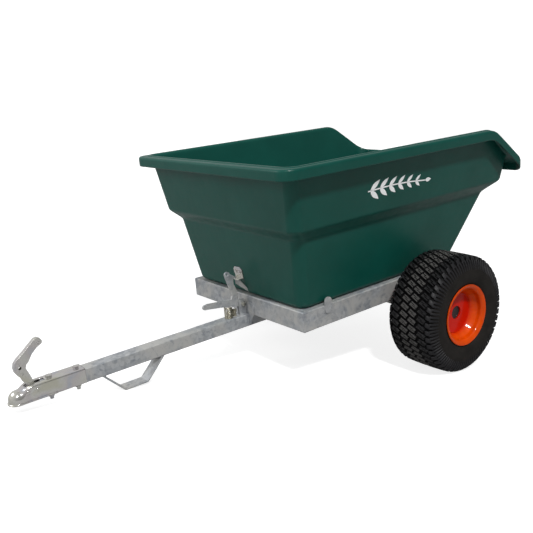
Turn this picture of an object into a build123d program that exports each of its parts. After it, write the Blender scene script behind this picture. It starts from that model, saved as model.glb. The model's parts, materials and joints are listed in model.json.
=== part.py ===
from build123d import *
import math
import os

# Tow behind tipping cart. Everything is drawn in the level cart frame: X forwards to the
# hitch, Y to the cart's left, Z up, origin on the axle's centre line, millimetres.
# At the end the whole cart is turned nose-down onto its parking skid, as it stands when
# it is unhitched, and moved so that the origin is on the ground under the middle of its box.

# ---------------------------------------------------------------- driving dimensions
TYRE_R = 229.0  # 18x8.50-8 turf tyre
TYRE_HALF = 108.0
TRACK_HALF = 500.0
FLANGE_R = 119.0
BEAD_R = 101.6  # 8 inch rim
RIM_HALF = 100.0
WELL_R = 82.0
RIM_SHEET = 3.0
HUB_IN_R = 26.0
HUB_OUT_R = 29.0
HUB_HALF = 50.0
AXLE_R = 12.5

FRAME_FRONT = 600.0
FRAME_REAR = -60.0
FRAME_HALF = 352.0
FRAME_TOP = 122.0
FRAME_BOTTOM = 45.0
FLANGE_DEPTH = 50.0
SHEET = 3.0

BAR = 50.0  # square drawbar
BAR_TOP = FRAME_BOTTOM
BAR_BOTTOM = BAR_TOP - BAR
BAR_REAR = 20.0
BAR_FRONT = 1432.0

TUB_WALL = 6.0
RIM_TOP = 657.0
RIM_FRONT = 745.0
RIM_REAR = -560.0
RIM_HALF_WIDTH = 486.0
RIM_SKIRT = 41.0
RIM_KINK_X = -345.0
LIP_TOP = 498.0

PIVOT_X = -90.0  # tipping hinge
PIVOT_Z = 95.0
SHAFT_R = 8.0
RUNNING = 0.05  # radial clearance of a pin in its hole

SOCKET_X = 1512.0  # centre of the 50 mm ball socket
SOCKET_Z = 10.0
SOCKET_R = 25.2
COUPLING_TAIL = 1289.0
COUPLING_TOP = 49.5
COUPLING_HALF = 29.6
COUPLING_NECK_X = 1466.0
COUPLING_BOLTS = (1310.0, 1404.0)
HANDLE_PIN = (1454.0, 32.0)
CLAMP_PIN = (1484.0, 30.0)

LATCH_PIVOT = (614.0, 88.0)
LEVER_HALF = 4.0
SPRING_X = 679.0

SKID_BAR = 6.0
SKID_BEND = 15.0
SKID_FRONT = 1152.0
SKID_REAR = 1067.0
SKID_LOW = -82.0


# ---------------------------------------------------------------- shape helpers
def box(x0, x1, y0, y1, z0, z1):
    """Block between two opposite corners."""
    middle = Pos((x0 + x1) / 2, (y0 + y1) / 2, (z0 + z1) / 2)
    return middle * Box(x1 - x0, y1 - y0, z1 - z0)


def rod_y(x, z, radius, y0, y1):
    """Round bar along Y."""
    return Pos(x, (y0 + y1) / 2, z) * Rot(90, 0, 0) * Cylinder(radius, y1 - y0)


def rod_z(x, y, radius, z0, z1):
    """Upright round bar."""
    return Pos(x, y, (z0 + z1) / 2) * Cylinder(radius, z1 - z0)


def rod_x(y, z, radius, x0, x1):
    """Round bar along X."""
    return Pos((x0 + x1) / 2, y, z) * Rot(0, 90, 0) * Cylinder(radius, x1 - x0)


def hex_z(x, y, across_flats, z0, z1):
    """Upright hexagonal prism, for bolt heads and nuts."""
    outline = RegularPolygon(across_flats / 2, 6, major_radius=False)
    return extrude(Pos(x, y, z0) * outline, amount=z1 - z0)


def hex_y(x, z, across_flats, y0, y1):
    """Hexagonal prism along Y."""
    outline = RegularPolygon(across_flats / 2, 6, major_radius=False)
    return extrude(Plane.XZ.offset(-y1) * Pos(x, z, 0) * outline, amount=y1 - y0)


def side_plate(outline, y0, y1):
    """Plate whose outline is drawn in X and Z, between two values of Y."""
    return extrude(Plane.XZ.offset(-y1) * outline, amount=y1 - y0)


def cross_plate(outline, x0, x1):
    """Plate whose outline is drawn in Y and Z, between two values of X."""
    return extrude(Plane.YZ.offset(x0) * outline, amount=x1 - x0)


def folded(points, thickness, bend):
    """Section of a folded sheet: a path along one face, thickened to its left."""
    path = FilletPolyline(*points, radius=bend)
    return make_face(offset(path, amount=thickness, side=Side.LEFT, closed=True).edges())


def outline(points, radius):
    """Closed outline with every corner rounded to the same radius."""
    return make_face(FilletPolyline(*points, radius=radius, close=True).edges())


def mirrored(shape):
    """The same shape on the cart's other side."""
    return mirror(shape, about=Plane.XZ)


def both_sides(shape):
    """A left and a right solid, which share one node."""
    return [shape, mirrored(shape)]


# ---------------------------------------------------------------- chassis
def channel_section(height_low, height_high, depth):
    """C-section that opens towards -X from a web at X = 0."""
    inner = SHEET
    points = [
        (-depth, height_high - inner),
        (-inner, height_high - inner),
        (-inner, height_low + inner),
        (-depth, height_low + inner),
    ]
    return folded(points, SHEET, 2.0)


def make_front_member():
    section = Pos(FRAME_FRONT, 0, 0) * channel_section(FRAME_BOTTOM, FRAME_TOP, FLANGE_DEPTH)
    member = side_plate(section, -FRAME_HALF, FRAME_HALF)
    web_back = FRAME_FRONT - SHEET
    for side in (-1, 1):
        edge = side * FRAME_HALF
        inner = side * (FRAME_HALF - SHEET)
        low, high = min(edge, inner), max(edge, inner)
        member -= box(FRAME_FRONT - 80, web_back, low, high, FRAME_BOTTOM - 1, FRAME_TOP + 1)
    return member


def make_side_rail():
    section = Plane.YZ * Pos(FRAME_HALF, 0, 0) * channel_section(FRAME_BOTTOM, FRAME_TOP, FLANGE_DEPTH)
    web_front = FRAME_FRONT - SHEET
    rail = Pos(FRAME_REAR, 0, 0) * extrude(section, amount=web_front - FRAME_REAR)
    flange_front = FRAME_FRONT - FLANGE_DEPTH
    return rail - box(flange_front, FRAME_FRONT, 0, FRAME_HALF - SHEET, 0, 2 * FRAME_TOP)


def make_cross_member(web_x):
    """Channel between the side rails, coped at its ends to pass between their flanges."""
    section = Pos(web_x, 0, 0) * channel_section(FRAME_BOTTOM, FRAME_TOP, FLANGE_DEPTH - 10)
    end = FRAME_HALF - SHEET
    coped_from = FRAME_HALF - FLANGE_DEPTH
    member = side_plate(section, -end, end)
    for side in (-1, 1):
        low, high = sorted((side * coped_from, side * (end + 1)))
        cope = SHEET + 2
        for z0, z1 in ((FRAME_BOTTOM - 1, FRAME_BOTTOM + cope), (FRAME_TOP - cope, FRAME_TOP + 1)):
            member -= box(web_x - FLANGE_DEPTH, web_x + 1, low, high, z0, z1)
    return member


def make_rear_member():
    """The cross member at the hinge, turned so that its web is the chassis's back face."""
    turned = mirror(make_cross_member(0), about=Plane.YZ)
    return Pos(FRAME_REAR, 0, 0) * turned


def make_drawbar():
    section = RectangleRounded(BAR, BAR, 5) - RectangleRounded(BAR - 6, BAR - 6, 2)
    middle_z = (BAR_TOP + BAR_BOTTOM) / 2
    bar = Pos(BAR_REAR, 0, 0) * extrude(Plane.YZ * Pos(0, middle_z, 0) * section, amount=BAR_FRONT - BAR_REAR)
    for x in COUPLING_BOLTS:
        bar -= rod_z(x, 0, 6.5, BAR_BOTTOM - 1, BAR_TOP + 1)
    return bar


def make_skid():
    low = SKID_LOW + SKID_BAR
    top = BAR_BOTTOM + 10
    slope = (BAR_BOTTOM - low) / 70.0
    reach = (top - low) / slope
    points = [(SKID_REAR - reach, top), (SKID_REAR, low), (SKID_FRONT, low), (SKID_FRONT + reach, top)]
    path = FilletPolyline(*points, radius=SKID_BEND - SKID_BAR)
    section = make_face(offset(path, amount=SKID_BAR, side=Side.RIGHT, closed=True).edges())
    skid = side_plate(section, -BAR / 2, BAR / 2)
    return skid - box(SKID_REAR - 200, SKID_FRONT + 200, -BAR, BAR, BAR_BOTTOM, BAR_TOP)


def make_axle_beam():
    section = RectangleRounded(40, 40, 3) - Rectangle(32, 32)
    return Pos(0, 440, 0) * extrude(Plane.XZ * section, amount=880)


def make_axle_bracket():
    """Trapezoid plate that hangs the axle under one side rail."""
    points = [(-56, FRAME_BOTTOM), (-30, -27), (24, -27), (171, FRAME_BOTTOM)]
    plate = side_plate(make_face(Polyline(*points, close=True).edges()), 344, FRAME_HALF)
    return plate - box(-20, 20, 300, 360, -20, 20)


def make_guide_tab():
    """Upright plate on a side rail that keeps the tub in line as it comes down."""
    width = 34.0
    middle_x = 481.0
    top = 151.0
    low = 90.0
    points = [
        (middle_x - width / 2, low),
        (middle_x + width / 2, low),
        (middle_x + width / 2, top),
        (middle_x - width / 2, top),
    ]
    return side_plate(outline(points, 15), FRAME_HALF, FRAME_HALF + 4)


def make_drawbar_gusset():
    """Leaf-shaped plate between the drawbar's side and the front member's face."""
    edge = BAR / 2
    points = [(edge, 0), (edge + 9, 2), (edge + 36, 48), (edge + 42, 78), (edge + 34, 93), (edge + 4, 93)]
    return cross_plate(outline(points, 3), FRAME_FRONT, FRAME_FRONT + 6)


# ---------------------------------------------------------------- tipping hinge
LUG_INNER = 250.0
LUG_OUTER = 256.0


def make_hinge_lug():
    reach = PIVOT_X - FRAME_REAR
    arm = make_face(Polyline((FRAME_REAR, 110), (PIVOT_X, 110), (PIVOT_X, 80), (FRAME_REAR, 55), close=True).edges())
    eye = Pos(PIVOT_X, PIVOT_Z, 0) * Circle(abs(reach) / 2)
    lug = side_plate(arm + eye, LUG_INNER, LUG_OUTER)
    return lug - rod_y(PIVOT_X, PIVOT_Z, SHAFT_R + RUNNING, LUG_INNER - 1, LUG_OUTER + 1)


BRACKET_FRONT = -70.0
BRACKET_REAR = -150.0
BRACKET_INNER = 222.0
BRACKET_OUTER = 284.0
BRACKET_SHEET = 4.0
EARS = ((242.0, 247.0), (259.0, 264.0))
HINGE_BOLTS = [(x, y) for x in (-138.0, -82.0) for y in (231.0, 275.0)]


def make_hinge_bracket():
    """Base plate under the tub floor with two ears around the chassis lug."""
    plate_low = FRAME_TOP - BRACKET_SHEET
    bracket = box(BRACKET_REAR, BRACKET_FRONT, BRACKET_INNER, BRACKET_OUTER, plate_low, FRAME_TOP)
    ear_points = [(BRACKET_REAR + 14, plate_low), (PIVOT_X - 13, PIVOT_Z), (PIVOT_X + 13, PIVOT_Z)]
    ear_points.append((BRACKET_FRONT, plate_low))
    ear = make_face(Polyline(*ear_points, close=True).edges()) + Pos(PIVOT_X, PIVOT_Z, 0) * Circle(13)
    for low, high in EARS:
        bracket += side_plate(ear, low, high)
    bracket -= rod_y(PIVOT_X, PIVOT_Z, SHAFT_R + RUNNING, 200, 300)
    for x, y in HINGE_BOLTS:
        bracket -= rod_z(x, y, 4.2, plate_low - 1, FRAME_TOP + 1)
    return bracket


def make_hinge_bolts():
    """Dome-headed bolts through the tub floor, four to a bracket."""
    inside = FRAME_TOP + TUB_WALL
    bolts = []
    for x, y in HINGE_BOLTS:
        head = Pos(x, y, inside) * scale(Sphere(9), by=(1, 1, 0.5))
        head &= box(x - 10, x + 10, y - 10, y + 10, inside, inside + 10)
        bolts += both_sides(head + rod_z(x, y, 4, FRAME_TOP - 13, inside))
    return bolts


def make_hinge_nuts():
    plate_low = FRAME_TOP - BRACKET_SHEET
    nuts = []
    for x, y in HINGE_BOLTS:
        nut = hex_z(x, y, 13, plate_low - 7, plate_low) - rod_z(x, y, 4, plate_low - 8, plate_low + 1)
        nuts += both_sides(nut)
    return nuts


SHAFT_HALF = 286.0
CLIP_Y = 276.0


def make_hinge_shaft():
    shaft = rod_y(PIVOT_X, PIVOT_Z, SHAFT_R, -SHAFT_HALF, SHAFT_HALF)
    for side in (-1, 1):
        shaft -= rod_z(PIVOT_X, side * CLIP_Y, 2.1, PIVOT_Z - 20, PIVOT_Z + 20)
    return shaft


def make_hinge_clips():
    """Split pins through the shaft's ends."""
    eye_z = PIVOT_Z + SHAFT_R + 2.7
    pin = rod_z(PIVOT_X, CLIP_Y, 2, PIVOT_Z - 12, eye_z)
    return both_sides(pin + Pos(PIVOT_X, CLIP_Y, eye_z) * Sphere(2.4))


def make_hinge_washers():
    washer = rod_y(PIVOT_X, PIVOT_Z, 12, 265, 267.5)
    washer -= rod_y(PIVOT_X, PIVOT_Z, SHAFT_R + RUNNING, 264, 268)
    return both_sides(washer)


# ---------------------------------------------------------------- tub
# Each level of the tub: height, back, front and half width of its outer wall, corner radius.
FLOOR_LEVEL = (FRAME_TOP, -245.0, 588.0, 334.0, 42.0)
STEP_LOW = (389.0, -428.0, 628.0, 380.0, 42.0)
STEP_HIGH = (427.0, -508.0, 667.0, 414.0, 42.0)
TOP_LEVEL = (RIM_TOP + 20, -550.0, 704.0, 456.0, 42.0)


def tub_level(level, inset):
    """Rounded rectangle of the tub's wall at one height, moved inwards by the inset."""
    z, back, front, half, radius = level
    length = front - back - 2 * inset
    middle = (front + back) / 2
    return Pos(middle, 0, z) * RectangleRounded(length, 2 * (half - inset), radius - inset)


def tub_body(inset, floor_rise, corner):
    """Solid tub shape, used for the outside and, inset, for the hollow."""
    z, back, front, half, radius = FLOOR_LEVEL
    share = floor_rise / (STEP_LOW[0] - z)
    rises = [low + (high - low) * share for low, high in zip(FLOOR_LEVEL, STEP_LOW)]
    lower = loft([tub_level(rises, inset), tub_level(STEP_LOW, inset)], ruled=True)
    lower = fillet(lower.edges().group_by(Axis.Z)[0], corner)
    step = loft([tub_level(STEP_LOW, inset), tub_level(STEP_HIGH, inset)], ruled=True)
    upper = loft([tub_level(STEP_HIGH, inset), tub_level(TOP_LEVEL, inset)], ruled=True)
    return lower + step + upper


def rim_band(shift, depth):
    """Slice of space under the tub's top line, from shift below it to depth below it."""
    slope = (RIM_TOP - LIP_TOP) / (RIM_KINK_X - RIM_REAR)
    far_front = RIM_FRONT + 100
    far_rear = RIM_REAR - 100
    rear_z = LIP_TOP - 100 * slope
    points = [
        (far_front, RIM_TOP - shift),
        (RIM_KINK_X, RIM_TOP - shift),
        (far_rear, rear_z - shift),
        (far_rear, rear_z - depth),
        (RIM_KINK_X, RIM_TOP - depth),
        (far_front, RIM_TOP - depth),
    ]
    return side_plate(make_face(Polyline(*points, close=True).edges()), -600, 600)


def rim_plan(inset):
    """Upright prism inside the rim's outer edge."""
    middle = (RIM_FRONT + RIM_REAR) / 2
    sheet = RectangleRounded(RIM_FRONT - RIM_REAR - 2 * inset, 2 * (RIM_HALF_WIDTH - inset), 56 - inset)
    return extrude(Pos(middle, 0, 350) * sheet, amount=400)


def make_tub():
    rim = (rim_plan(0) & rim_band(0, RIM_SKIRT)) - (rim_plan(TUB_WALL) & rim_band(TUB_WALL, 200))
    walls = tub_body(0, 0, 20) & rim_band(0, 800)
    tub = (walls + rim) - tub_body(TUB_WALL, TUB_WALL, 14)
    for x, y in HINGE_BOLTS:
        for side in (-1, 1):
            tub -= rod_z(x, side * y, 4.2, FRAME_TOP - 1, FRAME_TOP + TUB_WALL + 1)
    for y, z in CATCH_BOLTS:
        tub -= catch_frame(z) * rod_x(y, 0, 4.2, -15, 15)
    return tub


# ---------------------------------------------------------------- tub catch
WALL_SLOPE = (STEP_LOW[2] - FLOOR_LEVEL[2]) / (STEP_LOW[0] - FLOOR_LEVEL[0])
CATCH_BOLTS = ((-28.0, 212.0), (-4.0, 212.0))
CATCH_SHEET = 4.0


def catch_frame(z):
    """Frame on the tub's front wall at a height: local X points out of the wall."""
    x = FLOOR_LEVEL[2] + (z - FLOOR_LEVEL[0]) * WALL_SLOPE
    return Pos(x, 0, z) * Rot(0, math.degrees(math.atan(WALL_SLOPE)), 0)


def make_catch():
    """Folded bracket bolted to the tub, with the shelf that the hook holds down."""
    middle_z = CATCH_BOLTS[0][1]
    corners = [(-44, 8), (-33, 19), (-1, 21), (10, 12), (10, -28), (-38, -28)]
    plate = catch_frame(middle_z) * cross_plate(outline(corners, 3), 0, CATCH_SHEET)
    shelf = box(598, 624, -38, 10, 184, 188)
    bracket = plate + shelf
    wall = tub_body(0, 0, 20)
    bracket -= wall
    for y, z in CATCH_BOLTS:
        bracket -= catch_frame(z) * rod_x(y, 0, 4.2, -15, 15)
    return bracket


def make_catch_brace():
    """Tapered strap from under the shelf down and across to the foot of the tub wall."""
    points = [(0, 184), (14, 184), (54, 136), (54, 128), (0, 168)]
    strap = side_plate(make_face(Polyline(*points, close=True).edges()), -2, 2)
    strap = Pos(623, -15, 0) * Rot(0, 0, 137) * strap
    return strap - tub_body(0, 0, 20)


def make_catch_bolts():
    bolts = []
    for y, z in CATCH_BOLTS:
        shank = rod_x(y, 0, 4, -TUB_WALL - 10, CATCH_SHEET)
        head = Pos(CATCH_SHEET, y, 0) * Rot(0, 90, 0) * extrude(RegularPolygon(6.5, 6, major_radius=False), amount=5.5)
        bolts.append(catch_frame(z) * (shank + head))
    return bolts


def make_catch_nuts():
    nuts = []
    for y, z in CATCH_BOLTS:
        hexagon = extrude(RegularPolygon(6.5, 6, major_radius=False), amount=7)
        nut = Pos(-TUB_WALL - 8, y, 0) * Rot(0, 90, 0) * hexagon
        nuts.append(catch_frame(z) * (nut - rod_x(y, 0, 4, -30, 0)))
    return nuts


# ---------------------------------------------------------------- latch lever
CHEEK_GAP = 4.5
CHEEK_SHEET = 6.0


def make_latch_cheeks():
    """Two cheeks on the drawbar's top, against the front member, that hold the lever."""
    front = LATCH_PIVOT[0] + 18
    points = [(FRAME_FRONT, BAR_TOP), (front, BAR_TOP), (front, 102), (FRAME_FRONT, 102)]
    cheek = side_plate(outline(points, 2.5), CHEEK_GAP, CHEEK_GAP + CHEEK_SHEET)
    cheek -= rod_y(LATCH_PIVOT[0], LATCH_PIVOT[1], 5 + RUNNING, 0, 20)
    return both_sides(cheek)


def make_latch_lever():
    """Flat lever: a hook above the pivot and a handle in front of it."""
    x, z = LATCH_PIVOT
    arm = [(626, 197), (652, 213), (669, 227), (682, 219), (679, 205), (655, 128), (632, 124)]
    arm += [(633, 147), (645, 174), (645, 187), (644, 196)]
    handle = [(604, 98), (606, 78), (640, 82), (692, 93), (780, 106), (790, 111), (789, 121), (772, 126)]
    handle += [(662, 115), (655, 128), (632, 128), (631, 110)]
    lever = make_face(Polyline(*arm, close=True).edges())
    lever += make_face(Polyline(*handle, close=True).edges())
    lever += Pos(x, z, 0) * Circle(13)
    lever += Pos(670, 216, 0) * Circle(11.5)
    lever += Pos(783, 115, 0) * Circle(9.5)
    plate = side_plate(lever, -LEVER_HALF, LEVER_HALF)
    plate -= rod_y(x, z, 5 + RUNNING, -10, 10)
    return plate - rod_y(670, 216, 5, -10, 10)


def make_latch_pivot_bolt():
    x, z = LATCH_PIVOT
    return rod_y(x, z, 5, -20, CHEEK_GAP + CHEEK_SHEET) + hex_y(x, z, 17, CHEEK_GAP + CHEEK_SHEET, 17)


def make_latch_pivot_nut():
    x, z = LATCH_PIVOT
    face = CHEEK_GAP + CHEEK_SHEET
    return hex_y(x, z, 17, -face - 8, -face) - rod_y(x, z, 5, -30, 0)


def make_latch_spring():
    """Compression coil between the drawbar and the lever."""
    wire = 2.2
    coil = 14.4
    low = BAR_TOP + wire + 0.2
    turns = 4.5
    height = 36.5
    path = Pos(SPRING_X, 0, low) * Helix(pitch=height / turns, height=height, radius=coil)
    start = path @ 0
    section = Plane(origin=start, z_dir=path % 0) * Circle(wire)
    return sweep(section, path=path)


def make_latch_stop():
    """Bolt that stops the lever's stroke."""
    x = 651.0
    return rod_z(x, 0, 7, BAR_TOP, 72) + hex_z(x, 0, 17, 66, 73)


# ---------------------------------------------------------------- ball coupling
COUPLING_LOW = -2.0


def make_coupling_body():
    """Pressed coupling: a channel over the drawbar that ends in a domed ball socket."""
    dome_r = 30.4
    neck = [(COUPLING_TAIL, COUPLING_LOW), (SOCKET_X, COUPLING_LOW), (SOCKET_X, SOCKET_Z + dome_r - 3)]
    neck += [(COUPLING_NECK_X, COUPLING_TOP), (COUPLING_TAIL, COUPLING_TOP)]
    shell = side_plate(make_face(Polyline(*neck, close=True).edges()), -COUPLING_HALF, COUPLING_HALF)
    shell = fillet(shell.edges().filter_by(Axis.X).group_by(Axis.Z)[-1], 5)
    shell += Pos(SOCKET_X, 0, SOCKET_Z) * Sphere(dome_r)
    shell += rod_z(SOCKET_X, 0, dome_r, COUPLING_LOW, SOCKET_Z)
    shell += rod_z(SOCKET_X, 0, dome_r + 3.5, COUPLING_LOW, 1)
    flange_tail = COUPLING_BOLTS[1] - 10
    flange_half = COUPLING_HALF + 3
    shell += box(flange_tail, SOCKET_X - 14, -flange_half, flange_half, COUPLING_LOW, 1)
    shell -= box(SOCKET_X - 60, SOCKET_X + 60, -60, 60, COUPLING_LOW - 40, COUPLING_LOW)
    half = BAR / 2 + RUNNING
    shell -= box(COUPLING_TAIL - 1, BAR_FRONT + 2, -half, half, COUPLING_LOW - 1, BAR_TOP + RUNNING)
    works_half = 14.0
    shell -= box(BAR_FRONT, SOCKET_X - 6, -works_half, works_half, COUPLING_LOW - 1, BAR_TOP)
    shell -= Pos(SOCKET_X, 0, SOCKET_Z) * Sphere(SOCKET_R)
    shell -= rod_z(SOCKET_X, 0, SOCKET_R, COUPLING_LOW - 1, SOCKET_Z)
    shell -= box(HANDLE_PIN[0] - 34, HANDLE_PIN[0] + 32, -10.5, 10.5, BAR_TOP - 5, COUPLING_TOP + 1)
    for x, z in (HANDLE_PIN, CLAMP_PIN):
        shell -= rod_y(x, z, 5 + RUNNING, -50, 50)
    for x in COUPLING_BOLTS:
        shell -= rod_z(x, 0, 6.5, BAR_TOP - 1, COUPLING_TOP + 1)
    return shell


def make_coupling_bolts():
    bolts = []
    for x in COUPLING_BOLTS:
        shank = rod_z(x, 0, 6, BAR_BOTTOM - 22, COUPLING_TOP)
        bolts.append(shank + hex_z(x, 0, 19, COUPLING_TOP, COUPLING_TOP + 7.5))
    return bolts


def make_coupling_washers():
    return [
        rod_z(x, 0, 12, BAR_BOTTOM - 2.5, BAR_BOTTOM) - rod_z(x, 0, 6, BAR_BOTTOM - 3, BAR_BOTTOM + 1)
        for x in COUPLING_BOLTS
    ]


def make_coupling_nuts():
    low = BAR_BOTTOM - 12.5
    high = BAR_BOTTOM - 2.5
    return [hex_z(x, 0, 19, low, high) - rod_z(x, 0, 6, low - 1, high + 1) for x in COUPLING_BOLTS]


HANDLE_HALF = 9.5


def make_coupling_handle():
    """U-section release handle, raised: shank, knee and grip."""
    x, z = HANDLE_PIN
    back = [(1446, 38), (1458, 56), (1460, 70), (1465, 85), (1473, 105), (1469, 117), (1462, 122)]
    back += [(1446, 146), (1428, 162), (1409, 172), (1407, 180), (1411, 188)]
    front = [(1419, 193), (1430, 192), (1472, 158), (1495, 141), (1506, 129), (1510, 113), (1507, 97)]
    front += [(1500, 86), (1491, 75), (1487, 62), (1480, 52), (1464, 34)]
    shape = make_face(Polyline(*(back + front), close=True).edges()) + Pos(x, z, 0) * Circle(11)
    handle = side_plate(shape, -HANDLE_HALF, HANDLE_HALF)
    wall = 3.0
    channel_back = [(1440, 30), (1440, 60), (1455, 88), (1455, 105), (1390, 170)]
    channel_front = [(1404, 186), (1422, 188), (1468, 155), (1491, 137), (1501, 127), (1505, 113)]
    channel_front += [(1502, 98), (1496, 88), (1486, 76), (1480, 56)]
    channel = make_face(Polyline(*(channel_back + channel_front), close=True).edges())
    hollow = side_plate(channel, -HANDLE_HALF + wall, HANDLE_HALF - wall)
    handle -= hollow - box(1380, 1500, -20, 20, 0, 62)
    handle -= rod_y(x, z, 5 + RUNNING, -20, 20)
    return handle - rod_y(1491, 111, 5, -20, 20)


def make_coupling_pin(centre):
    """Riveted cross pin with a low head on each side."""
    x, z = centre
    pin = rod_y(x, z, 5, -COUPLING_HALF, COUPLING_HALF)
    for side in (-1, 1):
        low, high = sorted((side * COUPLING_HALF, side * (COUPLING_HALF + 2)))
        pin += rod_y(x, z, 7, low, high)
    return pin


def make_ball_clamp():
    """Jaw behind the ball, swung forwards under it by the handle."""
    x, z = CLAMP_PIN
    half = 12.0
    jaw = side_plate(Pos(x - 1, z, 0) * Circle(9), -half, half)
    jaw += box(x - 10, x + 6, -half, half, 4, z)
    jaw -= Pos(SOCKET_X, 0, SOCKET_Z) * Sphere(SOCKET_R + 1.5)
    jaw -= rod_z(SOCKET_X, 0, SOCKET_R + 1.5, COUPLING_LOW - 1, SOCKET_Z)
    return jaw - rod_y(x, z, 5 + RUNNING, -20, 20)


# ---------------------------------------------------------------- wheels (left side)
def turned(points):
    """Ring turned about the axle from a section in Y and radius, at the left wheel."""
    section = Plane.YZ * Pos(TRACK_HALF, 0, 0) * make_face(Polyline(*points, close=True).edges())
    return revolve(section, axis=Axis.Y)


def make_tyre():
    crown_half = 79.0
    bead = BEAD_R + 0.2
    outer = [
        Line((78, bead), (90, bead)),
        Line((90, bead), (94.5, 113)),
        Line((94.5, 113), (95, 120.5)),
        ThreePointArc((95, 120.5), (TYRE_HALF, 165), (98, 208)),
        ThreePointArc((98, 208), (91, 221), (crown_half, 227)),
    ]
    inner = [
        Line((78, bead), (78, 112)),
        ThreePointArc((78, 112), (94, 162), (84, 206)),
        Line((84, 206), (68, 214)),
    ]
    side = Curve() + outer + inner
    crown = ThreePointArc((-crown_half, 227), (0, TYRE_R), (crown_half, 227))
    lining = ThreePointArc((-68, 214), (0, 217), (68, 214))
    ring = side + mirror(side, about=Plane.YZ) + crown + lining
    section = make_face(ring.edges())
    placed = Plane.YZ * Pos(TRACK_HALF, 0, 0) * section
    return revolve(placed, axis=Axis.Y)


def make_rim():
    """Pressed rim: two flanges, bead seats, a well and the wheel disc."""
    seat = BEAD_R
    path = [
        (-RIM_HALF + RIM_SHEET, FLANGE_R),
        (-RIM_HALF + RIM_SHEET, 111),
        (-91, seat),
        (-74, seat),
        (-50, WELL_R),
        (50, WELL_R),
        (74, seat),
        (91, seat),
        (RIM_HALF - RIM_SHEET, 111),
        (RIM_HALF - RIM_SHEET, FLANGE_R),
    ]
    line = FilletPolyline(*path, radius=4)
    section = make_face(offset(line, amount=RIM_SHEET, side=Side.RIGHT, closed=True).edges())
    rim = revolve(Plane.YZ * Pos(TRACK_HALF, 0, 0) * section, axis=Axis.Y)
    rim += turned([(47, HUB_OUT_R), (50, HUB_OUT_R), (50, WELL_R - 1), (47, WELL_R - 1)])
    valve_x, valve_y = VALVE
    return rim - rod_y(valve_x, 0, 5.7, valve_y - 30, valve_y + 30)


VALVE = (88.0, TRACK_HALF - 60.0)


def make_valve():
    """Rubber snap-in valve with its cap, in the inner cone of the rim."""
    x, y = VALVE
    stem = rod_y(x, 0, 5.5, y - 20, y + 8)
    cap = rod_y(x, 0, 4.2, y - 31, y - 20)
    return stem + cap


def make_hub():
    """Tube welded into the disc, bored for the bearings."""
    bore = HUB_IN_R
    tube = turned([(-HUB_HALF, bore), (HUB_HALF, bore), (HUB_HALF, HUB_OUT_R), (-HUB_HALF, HUB_OUT_R)])
    spacer = turned([(-31, 20), (4, 20), (4, bore), (-31, bore)])
    return tube + spacer


def make_bearings():
    """One ball bearing at each end of the hub, against the spacer ring."""
    inner = AXLE_R + RUNNING
    inner_bearing = turned([(-46, inner), (-31, inner), (-31, HUB_IN_R), (-46, HUB_IN_R)])
    outer_bearing = turned([(4, inner), (19, inner), (19, HUB_IN_R), (4, HUB_IN_R)])
    return [inner_bearing, outer_bearing]


def make_dust_cap():
    """Black cap pushed into the hub's outer end."""
    face = HUB_HALF - 6
    return turned([(face - 4, 0), (face, 0), (face, HUB_IN_R), (face - 12, HUB_IN_R), (face - 12, 23), (face - 4, 23)])


def make_spindle():
    """Stub axle: a square root in the beam, a shoulder and a round journal."""
    root = box(-16, 16, 380, 440, -16, 16)
    shoulder = rod_y(0, 0, 18, 440, TRACK_HALF - 46)
    journal = rod_y(0, 0, AXLE_R, TRACK_HALF - 46, TRACK_HALF + 36)
    return (root + shoulder + journal) - rod_z(0, TRACK_HALF + 31.5, 2.1, -20, 20)


def make_spindle_washer():
    return turned([(19, AXLE_R), (21.5, AXLE_R), (21.5, 20), (19, 20)])


def make_spindle_nut():
    low = TRACK_HALF + 21.5
    nut = hex_y(0, 0, 36, low, low + 7)
    return nut - rod_y(0, 0, AXLE_R, low - 1, low + 20)


def make_spindle_pin():
    """Split pin through the journal, outside the nut."""
    return rod_z(0, TRACK_HALF + 31.5, 2, -17, 17)


# ---------------------------------------------------------------- assembly
nodes = {
    "front_member": make_front_member(),
    "side_rail_left": make_side_rail(),
    "side_rail_right": mirrored(make_side_rail()),
    "middle_cross_member": make_cross_member(300),
    "rear_cross_member": make_rear_member(),
    "drawbar": make_drawbar(),
    "parking_skid": make_skid(),
    "axle_beam": make_axle_beam(),
    "axle_bracket_left": make_axle_bracket(),
    "axle_bracket_right": mirrored(make_axle_bracket()),
    "guide_tabs": both_sides(make_guide_tab()),
    "drawbar_gussets": both_sides(make_drawbar_gusset()),
    "hinge_lugs": both_sides(make_hinge_lug()),
    "hinge_shaft": make_hinge_shaft(),
    "hinge_washers": make_hinge_washers(),
    "hinge_split_pins": make_hinge_clips(),
    "hinge_bracket_left": make_hinge_bracket(),
    "hinge_bracket_right": mirrored(make_hinge_bracket()),
    "hinge_bolts": make_hinge_bolts(),
    "hinge_nuts": make_hinge_nuts(),
    "tub_shell": make_tub(),
    "tub_catch": make_catch(),
    "catch_brace": make_catch_brace(),
    "catch_bolts": make_catch_bolts(),
    "catch_nuts": make_catch_nuts(),
    "latch_cheeks": make_latch_cheeks(),
    "latch_lever": make_latch_lever(),
    "latch_pivot_bolt": make_latch_pivot_bolt(),
    "latch_pivot_nut": make_latch_pivot_nut(),
    "latch_spring": make_latch_spring(),
    "latch_stop_bolt": make_latch_stop(),
    "coupling_body": make_coupling_body(),
    "coupling_bolts": make_coupling_bolts(),
    "coupling_washers": make_coupling_washers(),
    "coupling_nuts": make_coupling_nuts(),
    "coupling_handle": make_coupling_handle(),
    "handle_pin": make_coupling_pin(HANDLE_PIN),
    "ball_clamp": make_ball_clamp(),
    "clamp_pin": make_coupling_pin(CLAMP_PIN),
}
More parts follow.
